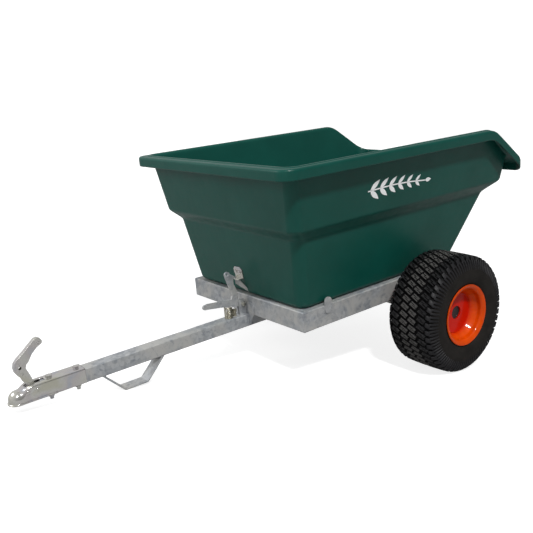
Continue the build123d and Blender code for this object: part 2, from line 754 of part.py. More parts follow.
wheel_makers = {
    "tyre": make_tyre,
    "rim": make_rim,
    "hub": make_hub,
    "bearings": make_bearings,
    "dust_cap": make_dust_cap,
    "valve": make_valve,
    "spindle": make_spindle,
    "spindle_washer": make_spindle_washer,
    "spindle_nut": make_spindle_nut,
    "spindle_pin": make_spindle_pin,
}
for name, maker in wheel_makers.items():
    left = maker()
    solids = left if isinstance(left, list) else [left]
    nodes[name + "_left"] = solids
    nodes[name + "_right"] = [mirrored(solid) for solid in solids]


def parking_tilt():
    """Nose-down angle in degrees at which the skid's front bend meets the wheels' ground."""
    bend_x = SKID_FRONT
    bend_z = SKID_LOW + SKID_BEND
    reach = math.hypot(bend_x, bend_z)
    return math.degrees(math.asin((TYRE_R - SKID_BEND) / reach) - math.atan2(-bend_z, bend_x))


turn = Rot(0, parking_tilt(), 0)
turned_nodes = {}
for name, made in nodes.items():
    pieces = made if isinstance(made, list) else [made]
    turned_nodes[name] = [turn * solid for piece in pieces for solid in piece.solids()]
whole = Compound([solid for solids in turned_nodes.values() for solid in solids]).bounding_box()
MIDDLE_X = (whole.min.X + whole.max.X) / 2


def park_point(x, y, z):
    """A level-frame point, in millimetres, moved to the parked part frame."""
    angle = math.radians(parking_tilt())
    turned_x = x * math.cos(angle) + z * math.sin(angle)
    turned_z = z * math.cos(angle) - x * math.sin(angle)
    return turned_x - MIDDLE_X, y, turned_z + TYRE_R


os.makedirs("parts", exist_ok=True)
for name, solids in turned_nodes.items():
    standing = [Pos(-MIDDLE_X, 0, TYRE_R) * solid for solid in solids]
    export_step(Compound(standing), f"parts/{name}.step")
print(len(turned_nodes), "nodes, tilt", round(parking_tilt(), 3), "degrees, middle x", round(MIDDLE_X, 3))
print("size", [round(v, 1) for v in (whole.size.X, whole.size.Y, whole.size.Z)])
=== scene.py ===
import json
import math
import random

import bmesh
import bpy
from mathutils import Matrix, Vector


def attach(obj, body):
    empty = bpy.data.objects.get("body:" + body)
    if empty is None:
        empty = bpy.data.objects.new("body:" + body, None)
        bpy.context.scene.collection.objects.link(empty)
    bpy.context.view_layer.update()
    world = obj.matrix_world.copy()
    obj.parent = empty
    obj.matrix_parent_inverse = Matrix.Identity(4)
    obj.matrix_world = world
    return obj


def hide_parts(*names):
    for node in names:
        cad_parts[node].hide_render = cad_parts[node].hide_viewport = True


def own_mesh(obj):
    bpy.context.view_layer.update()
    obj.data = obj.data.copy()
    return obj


# Looks for the tow behind cart. Every new piece is drawn in the level cart frame, in
# millimetres (X forwards to the hitch, Y left, Z up, origin on the axle's centre line),
# and TO_PARKED moves it to the frame in which the cart stands nose-down on its skid.

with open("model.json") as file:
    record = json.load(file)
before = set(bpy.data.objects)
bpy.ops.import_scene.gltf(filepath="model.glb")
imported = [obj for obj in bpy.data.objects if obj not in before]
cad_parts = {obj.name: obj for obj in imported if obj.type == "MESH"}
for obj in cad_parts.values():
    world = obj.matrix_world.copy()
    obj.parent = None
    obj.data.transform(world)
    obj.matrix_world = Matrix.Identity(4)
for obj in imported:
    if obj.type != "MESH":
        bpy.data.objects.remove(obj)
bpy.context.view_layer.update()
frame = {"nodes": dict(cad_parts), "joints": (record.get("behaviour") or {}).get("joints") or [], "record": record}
joints = {joint["name"]: joint for joint in frame["joints"]}
mounts = {mount["name"]: mount for mount in frame["record"]["mounts"]}

axle = Vector(joints["wheel_left_spin"]["pos_m"])
TRACK_HALF = axle.y * 1000
axle.y = 0
level_up = Vector(mounts["ball_socket"]["axis"])
if level_up.z < 0:
    level_up = -level_up
TILT = math.atan2(level_up.x, level_up.z)
PARK = Matrix.Translation(axle) @ Matrix.Rotation(TILT, 4, "Y")
TO_PARKED = PARK @ Matrix.Scale(0.001, 4)
random.seed(11)


# ---------------------------------------------------------------- material helpers
# Inputs of a Mix node in its colour mode: the factor and the two colours.
MIX_COLOUR_INPUTS = (0, 6, 7)


class Finish:
    """A procedural material: a principled shader and the nodes that feed it."""

    def __init__(self, name):
        self.material = bpy.data.materials.new(name)
        self.material.use_nodes = True
        self.nodes = self.material.node_tree.nodes
        self.links = self.material.node_tree.links
        self.shader = next(n for n in self.nodes if n.type == "BSDF_PRINCIPLED")
        self.place = self.nodes.new("ShaderNodeTexCoord").outputs["Object"]

    def set(self, **values):
        for name, value in values.items():
            self.shader.inputs[name.replace("_", " ")].default_value = value
        return self

    def feed(self, name, source):
        self.links.new(source, self.shader.inputs[name])

    def noise(self, scale, detail=4.0, rough=0.55, place=None, distortion=0.0):
        node = self.nodes.new("ShaderNodeTexNoise")
        node.inputs["Scale"].default_value = scale
        node.inputs["Detail"].default_value = detail
        node.inputs["Roughness"].default_value = rough
        node.inputs["Distortion"].default_value = distortion
        self.links.new(place or self.place, node.inputs["Vector"])
        return node.outputs["Fac"]

    def cells(self, scale, output="Color", place=None):
        node = self.nodes.new("ShaderNodeTexVoronoi")
        node.inputs["Scale"].default_value = scale
        self.links.new(place or self.place, node.inputs["Vector"])
        return node.outputs[output]

    def ramp(self, source, *stops):
        """Colour ramp: stops are (position, colour or grey)."""
        node = self.nodes.new("ShaderNodeValToRGB")
        elements = node.color_ramp.elements
        while len(elements) < len(stops):
            elements.new(0.5)
        for element, (position, colour) in zip(elements, stops):
            element.position = position
            grey = isinstance(colour, float)
            element.color = (colour, colour, colour, 1) if grey else (*colour, 1)
        self.links.new(source, node.inputs["Fac"])
        return node.outputs["Color"]

    def mix(self, share, first, second, blend="MIX"):
        """Mixes two colours, each a socket or a tuple; share is a socket or a number."""
        node = self.nodes.new("ShaderNodeMix")
        node.data_type = "RGBA"
        node.blend_type = blend
        for index, value in zip(MIX_COLOUR_INPUTS, (share, first, second)):
            socket = node.inputs[index]
            if isinstance(value, bpy.types.NodeSocket):
                self.links.new(value, socket)
            elif isinstance(value, tuple):
                socket.default_value = (*value, 1)
            else:
                socket.default_value = value
        return node.outputs[2]

    def maths(self, operation, first, second=0.0):
        node = self.nodes.new("ShaderNodeMath")
        node.operation = operation
        for socket, value in zip(node.inputs, (first, second)):
            if isinstance(value, bpy.types.NodeSocket):
                self.links.new(value, socket)
            else:
                socket.default_value = value
        return node.outputs[0]

    def span(self, source, low, high, to_low=0.0, to_high=1.0):
        """Maps a value from one span to another, and stops at the ends."""
        node = self.nodes.new("ShaderNodeMapRange")
        values = {"From Min": low, "From Max": high, "To Min": to_low, "To Max": to_high}
        for name, value in values.items():
            node.inputs[name].default_value = value
        self.links.new(source, node.inputs["Value"])
        return node.outputs["Result"]

    def bump(self, *layers):
        """Stacks bumps: each layer is (height socket, strength, distance in metres)."""
        previous = None
        for height, strength, distance in layers:
            node = self.nodes.new("ShaderNodeBump")
            node.inputs["Strength"].default_value = strength
            node.inputs["Distance"].default_value = distance
            self.links.new(height, node.inputs["Height"])
            if previous:
                self.links.new(previous, node.inputs["Normal"])
            previous = node.outputs["Normal"]
        self.feed("Normal", previous)

    def stretched(self, x, y, z):
        """Object coordinates scaled by axis, for streaks."""
        node = self.nodes.new("ShaderNodeMapping")
        node.inputs["Scale"].default_value = (x, y, z)
        self.links.new(self.place, node.inputs["Vector"])
        return node.outputs["Vector"]

    def axle_distance(self):
        """Distance from the axle's line, in metres."""
        node = self.nodes.new("ShaderNodeVectorMath")
        node.operation = "MULTIPLY_ADD"
        self.links.new(self.place, node.inputs[0])
        node.inputs[1].default_value = (1, 0, 1)
        node.inputs[2].default_value = (-axle.x, 0, -axle.z)
        length = self.nodes.new("ShaderNodeVectorMath")
        length.operation = "LENGTH"
        self.links.new(node.outputs[0], length.inputs[0])
        return length.outputs["Value"]

    def wheel_offset(self):
        """Distance from the middle plane of the nearer wheel, in metres."""
        split = self.nodes.new("ShaderNodeSeparateXYZ")
        self.links.new(self.place, split.inputs[0])
        across = self.maths("ABSOLUTE", split.outputs["Y"])
        return self.maths("ABSOLUTE", self.maths("SUBTRACT", across, TRACK_HALF / 1000))


# ---------------------------------------------------------------- materials
def tub_plastic():
    """Dark green polyethylene with a fine grain and a faint unevenness."""
    look = Finish("tub_green").set(Metallic=0.0, IOR=1.5, Specular_IOR_Level=0.27)
    clouds = look.noise(5.0, 3.0)
    fine = look.noise(900.0, 2.0)
    base = look.ramp(clouds, (0.3, (0.0026, 0.062, 0.047)), (0.7, (0.004, 0.076, 0.058)))
    specks = look.span(look.noise(260.0, 2.0), 0.66, 0.8, 0.0, 0.12)
    look.feed("Base Color", look.mix(specks, base, (0.05, 0.12, 0.1)))
    scuffs = look.noise(40.0, 6.0, 0.7, look.stretched(1.0, 1.0, 0.25))
    look.feed("Roughness", look.span(scuffs, 0.3, 0.75, 0.3, 0.44))
    look.bump((look.noise(9.0, 2.0), 0.35, 0.003), (fine, 0.22, 0.0003))
    return look.material


def galvanised():
    """Hot-dip zinc: crystals in several greys under dull blue-grey clouds."""
    look = Finish("galvanised_steel").set(Metallic=0.4)
    crystals = look.cells(75.0)
    bright = look.ramp(crystals, (0.2, (0.3, 0.32, 0.345)), (0.8, (0.46, 0.475, 0.49)))
    clouds = look.span(look.noise(9.0, 6.0, 0.65, distortion=0.6), 0.42, 0.6)
    warm = look.mix(clouds, bright, (0.5, 0.497, 0.48))
    stains = look.span(look.noise(38.0, 7.0, 0.78), 0.52, 0.7, 0.0, 0.75)
    look.feed("Base Color", look.mix(stains, warm, (0.19, 0.205, 0.235)))
    look.feed("Roughness", look.span(look.noise(30.0, 5.0), 0.3, 0.7, 0.34, 0.6))
    look.bump((look.noise(60.0, 5.0, 0.6), 0.3, 0.0012), (look.cells(75.0, "Distance"), 0.1, 0.0006))
    return look.material


def bright_zinc():
    """Bright zinc plate with a faint yellow, pink and blue passivation film."""
    look = Finish("zinc_plate").set(Metallic=0.85)
    film = look.ramp(
        look.noise(14.0, 2.0, 0.5, distortion=0.6),
        (0.3, (0.6, 0.59, 0.5)),
        (0.45, (0.66, 0.655, 0.62)),
        (0.56, (0.63, 0.6, 0.59)),
        (0.72, (0.5, 0.54, 0.61)),
    )
    wear = look.span(look.noise(70.0, 3.0, 0.6), 0.6, 0.85, 0.0, 0.1)
    look.feed("Base Color", look.mix(wear, film, (0.34, 0.34, 0.34)))
    look.feed("Roughness", look.span(look.noise(20.0, 2.0), 0.35, 0.7, 0.13, 0.2))
    look.bump((look.noise(60.0, 2.0), 0.03, 0.0004))
    return look.material


def mottled(name, metallic, patches, gloss, grain):
    """Finish in two mixed tones, with an uneven gloss and a fine bump.

    patches is (scale, detail, dark tone, light tone), gloss is (scale, detail, least
    roughness, most roughness) and grain is (scale, detail, strength, metres).
    """
    look = Finish(name).set(Metallic=metallic)
    scale, detail, dark, light = patches
    look.feed("Base Color", look.ramp(look.noise(scale, detail), (0.3, dark), (0.7, light)))
    scale, detail, least, most = gloss
    look.feed("Roughness", look.span(look.noise(scale, detail), 0.3, 0.7, least, most))
    scale, detail, strength, metres = grain
    look.bump((look.noise(scale, detail), strength, metres))
    return look.material


def yellow_zinc():
    """Dull yellow passivated zinc plate."""
    patches = (90.0, 4.0, (0.3, 0.28, 0.21), (0.52, 0.49, 0.4))
    return mottled("yellow_zinc_plate", 1.0, patches, (160.0, 3.0, 0.28, 0.5), (300.0, 3.0, 0.2, 0.0003))


def wheel_paint():
    """Gloss orange paint with a slight orange peel; the disc deep inside the rim is painted darker red as painted
    shade.
    """
    look = Finish("orange_paint").set(Metallic=0.0, Specular_IOR_Level=0.05)
    look.set(Coat_Weight=0.35, Coat_Roughness=0.03)
    clouds = look.noise(30.0, 3.0)
    orange = look.ramp(clouds, (0.3, (0.57, 0.05, 0.0006)), (0.7, (0.68, 0.068, 0.0008)))
    # Painted shade: the disc near the axle turns darker red, fading out towards the well, where the rim shades it.
    painted_disc_shade = look.span(look.axle_distance(), 0.076, 0.09, 1.0, 0.0)
    look.feed("Base Color", look.mix(painted_disc_shade, orange, (0.52, 0.008, 0.0006)))
    look.feed("Roughness", look.span(look.noise(200.0, 3.0), 0.3, 0.7, 0.3, 0.42))
    look.bump((look.noise(180.0, 2.0), 0.12, 0.0006))
    return look.material


def tyre_tread():
    """Black rubber of the blocks and lugs, dusty grey on the two middle rows."""
    look = Finish("tyre_tread").set(Metallic=0.0, Specular_IOR_Level=0.28)
    grain = look.noise(420.0, 5.0, 0.65)
    clouds = look.noise(26.0, 4.0)
    rubber = look.ramp(clouds, (0.3, (0.006, 0.006, 0.0075)), (0.7, (0.014, 0.0135, 0.015)))
    top = look.span(look.axle_distance(), 0.2262, 0.2274, 0.0, 0.9)
    middle = look.span(look.wheel_offset(), 0.037, 0.05, 1.0, 0.12)
    patchy = look.span(grain, 0.2, 0.7, 0.6, 1.0)
    dusty = look.maths("MULTIPLY", look.maths("MULTIPLY", top, middle), patchy)
    look.feed("Base Color", look.mix(dusty, rubber, (0.098, 0.094, 0.09)))
    look.feed("Roughness", look.span(grain, 0.3, 0.7, 0.42, 0.65))
    look.bump((grain, 0.3, 0.0004))
    return look.material


def tyre_carcass():
    """Brown-black rubber of the sidewalls; near the crown, between the tread blocks, it is painted near black as
    painted shade.
    """
    look = Finish("tyre_carcass").set(Metallic=0.0, Specular_IOR_Level=0.12)
    grain = look.noise(300.0, 5.0, 0.65)
    clouds = look.noise(26.0, 4.0)
    side = look.ramp(clouds, (0.3, (0.011, 0.0098, 0.0088)), (0.7, (0.018, 0.016, 0.0142)))
    # Painted shade: the carcass between the tread blocks near the crown turns near black, where the blocks shade
    # it.
    painted_groove_shade = look.span(look.axle_distance(), 0.2, 0.214)
    look.feed("Base Color", look.mix(painted_groove_shade, side, (0.0018, 0.0018, 0.002)))
    look.feed("Roughness", look.span(grain, 0.3, 0.7, 0.55, 0.75))
    look.bump((grain, 0.3, 0.0004))
    return look.material


def black_plastic():
    """Satin black plastic and rubber fittings."""
    patches = (60.0, 3.0, (0.008, 0.008, 0.009), (0.016, 0.016, 0.017))
    return mottled("black_plastic", 0.0, patches, (220.0, 4.0, 0.35, 0.55), (500.0, 3.0, 0.2, 0.0002))


def bearing_steel():
    """Ground bare steel."""
    patches = (80.0, 3.0, (0.5, 0.5, 0.5), (0.66, 0.66, 0.65))
    return mottled("bearing_steel", 1.0, patches, (240.0, 4.0, 0.18, 0.34), (700.0, 2.0, 0.1, 0.0002))


def mark_white():
    """White printed film on the tub, with the tub's grain showing through."""
    patches = (70.0, 4.0, (0.9, 0.92, 0.92), (0.97, 0.98, 0.98))
    return mottled("printed_white", 0.0, patches, (150.0, 4.0, 0.35, 0.5), (900.0, 2.0, 0.2, 0.0002))


LOOKS = {
    "tub_plastic": tub_plastic(),
    "galvanised": galvanised(),
    "bright_zinc": bright_zinc(),
    "yellow_zinc": yellow_zinc(),
    "wheel_paint": wheel_paint(),
    "tyre": tyre_tread(),
    "black_plastic": black_plastic(),
    "bearing_steel": bearing_steel(),
}
CARCASS_LOOK = tyre_carcass()


# ---------------------------------------------------------------- mesh helpers
# Points closer than this, in metres, are one point.
DOUBLED = 0.00001


class Shape:
    """Points and faces of one piece, in level millimetres."""

    def __init__(self):
        self.points = []
        self.faces = []

    def ring(self, points):
        start = len(self.points)
        self.points.extend(points)
        return list(range(start, start + len(points)))

    def skin(self, rings, closed_along=False, closed_round=True):
        """Quads between neighbouring rings of equal length."""
        pairs = list(zip(rings, rings[1:]))
        if closed_along:
            pairs.append((rings[-1], rings[0]))
        for low, high in pairs:
            count = len(low)
            last = count if closed_round else count - 1
            for i in range(last):
                j = (i + 1) % count
                self.faces.append((low[i], low[j], high[j], high[i]))

    def cap(self, ring, flip=False):
        self.faces.append(tuple(reversed(ring)) if flip else tuple(ring))

    def merge(self, other):
        """Takes over the points and faces of another shape."""
        start = len(self.points)
        self.points += other.points
        self.faces += [tuple(i + start for i in face) for face in other.faces]

    def make(self, name, body, slot, material=None, smooth=True, flip=False):
        mesh = bpy.data.meshes.new(name)
        faces = [tuple(reversed(face)) for face in self.faces] if flip else self.faces
        mesh.from_pydata([TO_PARKED @ Vector(p) for p in self.points], [], faces)
        mesh.validate()
        mesh.polygons.foreach_set("use_smooth", [smooth] * len(mesh.polygons))
        mesh.materials.append(material or LOOKS[slot])
        obj = bpy.data.objects.new(name, mesh)
        bpy.context.scene.collection.objects.link(obj)
        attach(obj, body)
        return obj


def weighted(obj):
    """Flat faces shade flat and rounded edges shade round."""
    modifier = obj.modifiers.new("normals", "WEIGHTED_NORMAL")
    modifier.weight = 100
    modifier.keep_sharp = False


def sharpen(obj, degrees):
    """Joins doubled points, turns faces outwards and shades steeper edges sharp."""
    mesh = obj.data
    work = bmesh.new()
    work.from_mesh(mesh)
    bmesh.ops.remove_doubles(work, verts=work.verts, dist=DOUBLED)
    bmesh.ops.recalc_face_normals(work, faces=work.faces)
    work.to_mesh(mesh)
    work.free()
    mesh.set_sharp_from_angle(angle=math.radians(degrees))


def lerp(a, b, t):
    return tuple(p + (q - p) * t for p, q in zip(a, b))


def corner_curve(before, corner, after, steps):
    """Points of a quadratic curve that rounds a corner."""
    curve = []
    for i in range(steps + 1):
        t = i / steps
        curve.append(lerp(lerp(before, corner, t), lerp(corner, after, t), t))
    return curve


def rounded_path(points, radius, steps):
    """An open path with its inner corners rounded."""
    path = [tuple(points[0])]
    for before, corner, after in zip(points, points[1:], points[2:]):
        reach_in = min(radius, math.dist(before, corner) * 0.45)
        reach_out = min(radius, math.dist(corner, after) * 0.45)
        start = lerp(corner, before, reach_in / math.dist(before, corner))
        end = lerp(corner, after, reach_out / math.dist(corner, after))
        path += corner_curve(start, corner, end, steps)
    return path + [tuple(points[-1])]


def tube(path, radius, sides, ripple=None):
    """Round tube along a 3-D path; ripple(i) scales the radius at point i."""
    shape = Shape()
    rings = []
    up = Vector((0.37, 0.21, 0.9)).normalized()
    for i, point in enumerate(path):
        before = Vector(path[max(i - 1, 0)])
        after = Vector(path[min(i + 1, len(path) - 1)])
        along = (after - before).normalized()
        side = along.cross(up).normalized()
        up = side.cross(along).normalized()
        size = radius * (ripple(i) if ripple else 1.0)
        ring = []
        for k in range(sides):
            angle = 2 * math.pi * k / sides
            ring.append(tuple(Vector(point) + side * math.cos(angle) * size + up * math.sin(angle) * size))
        rings.append(shape.ring(ring))
    shape.skin(rings)
    shape.cap(rings[0], flip=True)
    shape.cap(rings[-1])
    return shape


def lathe(section, side, steps=144):
    """Turns a closed section of (distance out from the wheel's middle, radius) about the axle.

    side is 1 for the left wheel and -1 for the right.
    """
    shape = Shape()
    rings = []
    for i in range(steps):
        angle = 2 * math.pi * i / steps
        ring = [(r * math.sin(angle), side * (TRACK_HALF + y), r * math.cos(angle)) for y, r in section]
        rings.append(shape.ring(ring))
    shape.skin(rings, closed_along=True)
    return shape


# ---------------------------------------------------------------- tub
# Each level of the wall: height, back, front, half width, corner radius.
FLOOR = (122.0, -245.0, 588.0, 334.0, 42.0)
STEP_LOW = (389.0, -428.0, 628.0, 380.0, 42.0)
STEP_HIGH = (427.0, -508.0, 667.0, 414.0, 42.0)
TOP = (677.0, -550.0, 704.0, 456.0, 42.0)
# Outer edge of the rim: back, front, half width, corner radius.
RIM_PLAN = (-560.0, 745.0, 486.0, 56.0)
# The top line is level from the front to the kink, and then slopes down to the lip.
RIM_TOP = 657.0
LIP_TOP = 498.0
KINK_X = -345.0
KINK_BLEND = 34.0
TUB_WALL = 6.0
FOOT_RADIUS = 20.0
FOOT_STEPS = 6
# Share of a wall's height, and of the step's, that the round bend between them takes.
WALL_BEND = 0.03
STEP_BEND = 0.2
# The wall meets the rim at this drop below the top line.
WALL_END = 20
CORNER_STEPS = 14
# Places of points along a side and across an end, as shares; they crowd at the kink.
ALONG = sorted({i / 20 for i in range(1, 20)} | {0.79 + 0.006 * i for i in range(26)})
ACROSS = [i / 12 for i in range(1, 12)]


def rim_line(x):
    """Height of the tub's top line, which slopes down to the pouring lip at the back."""
    slope = (RIM_TOP - LIP_TOP) / (KINK_X - RIM_PLAN[0])
    if x >= KINK_X + KINK_BLEND:
        return RIM_TOP
    if x <= KINK_X - KINK_BLEND:
        return RIM_TOP - slope * (KINK_X - x)
    return RIM_TOP - slope * (KINK_X + KINK_BLEND - x) ** 2 / (4 * KINK_BLEND)


def plan(back, front, half, radius):
    """Rounded rectangle, anticlockwise from the front left corner."""
    radius = max(radius, 1.0)
    corners = [(front - radius, half - radius), (back + radius, half - radius)]
    corners += [(back + radius, radius - half), (front - radius, radius - half)]
    sides = [ALONG, ACROSS, [1 - t for t in reversed(ALONG)], ACROSS]
    points = []
    for i, ((x, y), side) in enumerate(zip(corners, sides)):
        for k in range(CORNER_STEPS + 1):
            angle = math.radians(90 * (i + k / CORNER_STEPS))
            points.append((x + radius * math.cos(angle), y + radius * math.sin(angle)))
        nx, ny = corners[(i + 1) % 4]
        angle = math.radians(90 * (i + 1))
        end = (nx + radius * math.cos(angle), ny + radius * math.sin(angle))
        points += [lerp(points[-1], end, t) for t in side]
    return points


def level_ring(level, inset):
    """Wall outline at one level, moved inwards by the inset."""
    z, back, front, half, radius = level
    return [(x, y, z) for x, y in plan(back + inset, front - inset, half - inset, radius - inset)]


# Rounds in which a point of the wall settles on the sloping top line.
SETTLING_ROUNDS = 12


def wall_top(inset, drop):
    """Wall outline where it meets the tub's top line, less a drop."""
    low = level_ring(STEP_HIGH, inset)
    high = level_ring(TOP, inset)
    ring = []
    for start, end in zip(low, high):
        share = 1.0
        for _ in range(SETTLING_ROUNDS):
            x = lerp(start, end, share)[0]
            share = (rim_line(x) - drop - STEP_HIGH[0]) / (TOP[0] - STEP_HIGH[0])
        ring.append(lerp(start, end, share))
    return ring


def rim_ring(inset, drop):
    """Outline inside the rim's outer edge, at a drop below the top line."""
    back, front, half, radius = RIM_PLAN
    outline = plan(back + inset, front - inset, half - inset, radius - inset)
    return [(x, y, rim_line(x) - drop) for x, y in outline]


def wall_levels(inset, corner_radius, floor_rise):
    """Rings of one side of the wall, from the floor up to under the rim."""
    rise = floor_rise / (STEP_LOW[0] - FLOOR[0])
    foot = lerp(FLOOR, STEP_LOW, rise)
    rings = []
    for i in range(FOOT_STEPS + 1):
        angle = math.radians(90 * i / FOOT_STEPS)
        shift = corner_radius * (1 - math.sin(angle))
        height = corner_radius * (1 - math.cos(angle))
        level = lerp(foot, STEP_LOW, height / (STEP_LOW[0] - foot[0]))
        rings.append(level_ring(level, inset + shift))
    rings.append(level_ring(lerp(foot, STEP_LOW, 0.5), inset))
    low_bend = (foot, STEP_LOW, STEP_HIGH, WALL_BEND, STEP_BEND)
    high_bend = (STEP_LOW, STEP_HIGH, TOP, STEP_BEND, WALL_BEND)
    for before, corner, after, reach_in, reach_out in (low_bend, high_bend):
        start = lerp(corner, before, reach_in)
        end = lerp(corner, after, reach_out)
        rings += [level_ring(level, inset) for level in corner_curve(start, corner, end, 4)]
    top = wall_top(inset, WALL_END)
    middle = [lerp(low, high, 0.5) for low, high in zip(rings[-1], top)]
    return rings + [middle, top]


# The rim's section from the inside outwards, as (inset, drop below the top line): the
# bead over the wall, the flange and its turned-down edge, and the corner under the flange.
BEAD = [(0, 12), (-0.8, 7), (-3, 2.8), (-6.5, 0.7), (-11, 0), (-17, 0), (-18.5, 0.7), (-20, 2.6)]
FLANGE = [(10, 2.6), (5, 3.2), (1.6, 6.2), (0.2, 10.5), (0, 16), (0, 37), (0.7, 39.6), (2.2, 41)]
FLANGE += [(4, 41), (5.4, 39.6), (6, 37), (6, 14), (8, 10.5), (12, 9)]
UNDERSIDE = [(-8, 9), (-3, 10.5), (0, 15)]


def make_tub():
    """Tub with its floor, stepped walls and turned-down rim, as one closed skin."""
    inside = wall_levels(TUB_WALL, FOOT_RADIUS - TUB_WALL, TUB_WALL)
    outside = wall_levels(0, FOOT_RADIUS, 0)
    rim = [wall_top(TUB_WALL + inset, drop) for inset, drop in BEAD]
    rim += [rim_ring(inset, drop) for inset, drop in FLANGE]
    rim += [wall_top(inset, drop) for inset, drop in UNDERSIDE]
    shape = Shape()
    rings = [shape.ring(points) for points in inside + rim + list(reversed(outside))]
    shape.skin(rings)
    shape.cap(rings[0])
    shape.cap(rings[-1], flip=True)
    tub = shape.make("tub_moulding", "tub", "tub_plastic", flip=True)
    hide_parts("tub_shell")
    weighted(tub)


# ---------------------------------------------------------------- wheels
TYRE_RADIUS = 229.0
# Half sections as (distance from the tyre's middle, radius): the outer skin from the bead
# over the shoulder to the crown, and the hollow inside.
CARCASS = [(78, 101.8), (88, 101.8), (91.5, 105), (93.4, 112), (94.6, 119), (96.6, 123.5)]
CARCASS += [(99.6, 126.5), (100.6, 129.5), (101.6, 131.5), (104, 139), (105.9, 148), (106.7, 157)]
CARCASS += [(106.8, 165), (106.5, 172), (105.6, 179), (104.3, 185), (102, 193), (98.6, 201)]
CARCASS += [(93.5, 209), (86.5, 215.5), (78, 218.8), (66, 220.4), (44, 221.6), (0, 222.2)]
HOLLOW = [(78, 112), (92, 162), (82, 206), (0, 214)]
# Tread: rows of slanted blocks, each row turned on from the last by a share of the pitch.
BLOCKS_ROUND = 48
PITCH = 2 * math.pi * TYRE_RADIUS / BLOCKS_ROUND
BLOCK_ROWS = (-60.0, -18.0, 21.0, 63.0)
ROW_SHIFT = 0.605
# Edges of a block, as (round the tyre, across it).
BLOCK_LONG = Vector((13.8, 30.8))
BLOCK_SHORT = Vector((-14.4, 9.4))
BLOCK_DEPTH = 9.0
CROWN_RADIUS = 228.8
CROWN_DROP = 1.9
TREAD_HALF = 79.0


def crown(y):
    """Radius of the tread's surface at a distance from the tyre's middle."""
    return CROWN_RADIUS - CROWN_DROP * (y / TREAD_HALF) ** 2


def inset_outline(points, distance):
    """Moves every edge of a closed anticlockwise outline inwards."""
    moved = []
    count = len(points)
    for i in range(count):
        a, b, c = Vector(points[i - 1]), Vector(points[i]), Vector(points[(i + 1) % count])
        first, second = (b - a).normalized(), (c - b).normalized()
        normal = Vector((-first.y, first.x)) + Vector((-second.y, second.x))
        scale = distance / max(0.35, 1 + first.dot(second))
        moved.append(tuple(b + normal * scale))
    return moved


def on_tyre(along, y, radius, side):
    """Point at a distance round the tread, a distance from the middle and a radius."""
    angle = along / TYRE_RADIUS
    return (radius * math.sin(angle), side * (TRACK_HALF + y), radius * math.cos(angle))


def block_outline():
    """Slanted tread block with a notch in each short edge, in (round the tyre, across it)."""
    notch, near, far = 0.085, 0.15, 0.12
    corners = [(-0.5, -0.5), (0.5, -0.5), (0.5, -near - notch), (-far, -near - notch)]
    corners += [(-far, -near + notch), (0.5, -near + notch)]
    corners += [(-u, -v) for u, v in corners]
    outline = [tuple(BLOCK_LONG * u + BLOCK_SHORT * v) for u, v in corners]
    area = sum(a[0] * b[1] - b[0] * a[1] for a, b in zip(outline, outline[1:] + outline[:1]))
    return outline if area > 0 else outline[::-1]


# Shoulder lugs, as rows of (distance across, radius, half width, depth).
LUG_BODY = [(82.5, 226.2, 7.6, 8.0), (88, 223.6, 8.2, 8.0), (93, 219.4, 8.4, 7.0)]
LUG_BODY += [(97, 214.2, 8.2, 6.0)]
LUG_FINGER = [(94.5, 217.5, 3.7, 6.0), (99, 211.2, 4.0, 6.0), (103, 202.2, 3.9, 5.2)]
LUG_FINGER += [(105.8, 192, 3.5, 4.0), (107.0, 184, 3.0, 2.6), (107.2, 178, 2.4, 1.2)]
FINGER_START = 13
FINGER_SKEW = 0.15
LEAN_FROM, LEAN_OVER = 84, 22
# Places of the lugs in the slanted order of the rows, on the outer and the inner edge.
LUG_ROWS = {1: 3.75, -1: -0.75}


def add_block(shape, outline, centre, side):
    """Raised block: a base ring, a shoulder ring and a top ring, then a cap."""
    along0, y0 = centre
    rings = []
    inner = inset_outline(outline, 0.7)
    for points, drop in ((outline, BLOCK_DEPTH), (outline, 0.9), (inner, 0.0)):
        ring = [on_tyre(along0 + a, y0 + y, crown(y0 + y) - drop, side) for a, y in points]
        rings.append(shape.ring(ring))
    shape.skin(rings)
    shape.cap(rings[-1])


def add_bar(shape, side, hand, middle, path, skew):
    """Raised bar down the shoulder: path rows are distance across, radius, half width, depth.

    hand is the edge of the tyre (1 outer, -1 inner) and skew turns the bar round it. The
    bar stands up from the tread at first, and leans over to face the side.
    """
    rings = []
    for y, radius, half, drop in path:
        along = middle + hand * skew * (y - path[0][0])
        edge = min(0.9, half / 3)
        profile = [(-half - 0.6, drop), (-half, edge), (-half + edge, 0.0)]
        profile += [(half - edge, 0.0), (half, edge), (half + 0.6, drop)]
        lean = min(max((y - LEAN_FROM) / LEAN_OVER, 0.1), 0.75)
        ring = []
        for offset, low in profile:
            across = hand * (y - low * lean)
            ring.append(on_tyre(along + offset, across, radius - low * (1 - lean), side))
        rings.append(shape.ring(ring))
    shape.skin(rings, closed_round=False)
    shape.cap(rings[0], flip=True)
    shape.cap(rings[-1])


def add_lugs(shape, side, hand, phase):
    """Shoulder lugs on one edge of the tyre, each ending in two fingers on the sidewall."""
    slant = BLOCK_LONG.x / BLOCK_LONG.y
    for i in range(BLOCKS_ROUND):
        middle = (i + phase) * PITCH
        add_bar(shape, side, hand, middle, LUG_BODY, slant)
        for finger in (-0.25, 0.25):
            start = middle + hand * slant * FINGER_START + finger * PITCH
            add_bar(shape, side, hand, start, LUG_FINGER, FINGER_SKEW)


